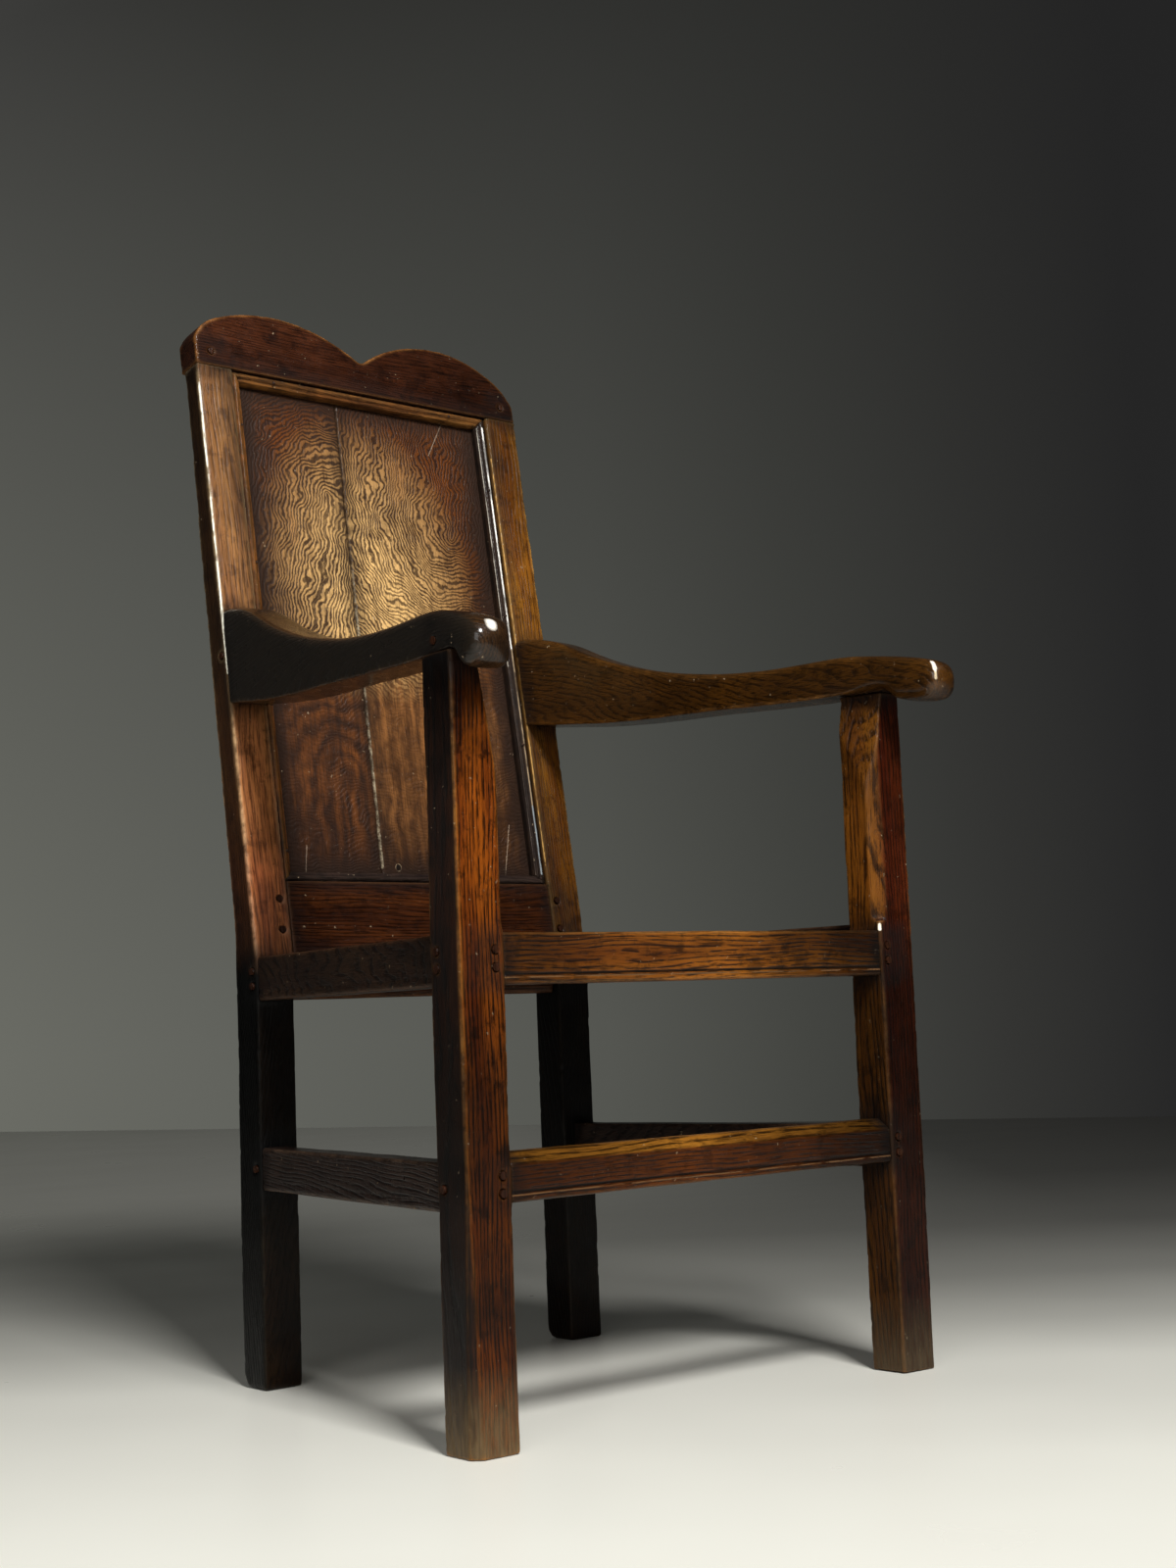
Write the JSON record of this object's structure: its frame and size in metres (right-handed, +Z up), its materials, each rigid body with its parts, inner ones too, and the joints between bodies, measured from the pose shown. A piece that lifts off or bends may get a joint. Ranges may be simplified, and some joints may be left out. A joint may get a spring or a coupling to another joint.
{
  "type": "panel-back armchair",
  "caption": "High-backed joined oak armchair with a double-humped crest, a moulded back panel and down-curved arms that end in rolled hand rests.",
  "frame": {"origin": "on the floor, under the middle of the chair's overall size", "axes": "+Z up, the seat faces -Y, +X to the right of a viewer who stands in front and looks at the seat"},
  "size_m": [0.5773, 0.6643, 1.1528],
  "materials": {
    "arm_left": "worn and polished",
    "arm_right": "worn and polished",
    "back_rail": "waxed",
    "back_stile_left": "waxed",
    "back_stile_right": "waxed",
    "crest_rail": "waxed",
    "front_leg_left": "worn and polished",
    "front_leg_right": "worn and polished",
    "moulding_bottom": "waxed",
    "moulding_left": "waxed",
    "moulding_right": "waxed",
    "moulding_top": "waxed",
    "panel_board_left": "waxed, figured",
    "panel_board_right": "waxed, figured",
    "seat_board_1": "waxed",
    "seat_board_2": "waxed",
    "seat_board_3": "waxed",
    "seat_rail_front": "waxed",
    "seat_rail_left": "waxed",
    "seat_rail_rear": "waxed",
    "seat_rail_right": "waxed",
    "stretcher_front": "waxed",
    "stretcher_left": "waxed",
    "stretcher_right": "waxed",
    "pegs": "end grain"
  },
  "bodies": {
    "root": {"arm_left": "arm_left", "arm_right": "arm_right", "back_rail": "back_rail", "back_stile_left": "back_stile_left", "back_stile_right": "back_stile_right", "crest_rail": "crest_rail", "front_leg_left": "front_leg_left", "front_leg_right": "front_leg_right", "moulding_bottom": "moulding_bottom", "moulding_left": "moulding_left", "moulding_right": "moulding_right", "moulding_top": "moulding_top", "panel_board_left": "panel_board_left", "panel_board_right": "panel_board_right", "seat_board_1": "seat_board_1", "seat_board_2": "seat_board_2", "seat_board_3": "seat_board_3", "seat_rail_front": "seat_rail_front", "seat_rail_left": "seat_rail_left", "seat_rail_rear": "seat_rail_rear", "seat_rail_right": "seat_rail_right", "stretcher_front": "stretcher_front", "stretcher_left": "stretcher_left", "stretcher_right": "stretcher_right", "peg_arm_front_left_1": "pegs", "peg_arm_front_right_1": "pegs", "peg_arm_rear_left_1": "pegs", "peg_arm_rear_right_1": "pegs", "peg_back_rail_left_1": "pegs", "peg_back_rail_left_2": "pegs", "peg_back_rail_right_1": "pegs", "peg_back_rail_right_2": "pegs", "peg_crest_left_1": "pegs", "peg_crest_right_1": "pegs", "peg_front_rail_left_1": "pegs", "peg_front_rail_left_2": "pegs", "peg_front_rail_right_1": "pegs", "peg_front_rail_right_2": "pegs", "peg_front_stretcher_left_1": "pegs", "peg_front_stretcher_left_2": "pegs", "peg_front_stretcher_right_1": "pegs", "peg_front_stretcher_right_2": "pegs", "peg_rear_rail_left_1": "pegs", "peg_rear_rail_right_1": "pegs", "peg_side_rail_front_left_1": "pegs", "peg_side_rail_front_left_2": "pegs", "peg_side_rail_front_right_1": "pegs", "peg_side_rail_front_right_2": "pegs", "peg_side_rail_rear_left_1": "pegs", "peg_side_rail_rear_left_2": "pegs", "peg_side_rail_rear_right_1": "pegs", "peg_side_rail_rear_right_2": "pegs", "peg_side_stretcher_front_left_1": "pegs", "peg_side_stretcher_front_right_1": "pegs", "peg_side_stretcher_rear_left_1": "pegs", "peg_side_stretcher_rear_right_1": "pegs"}
  },
  "joints": []
}
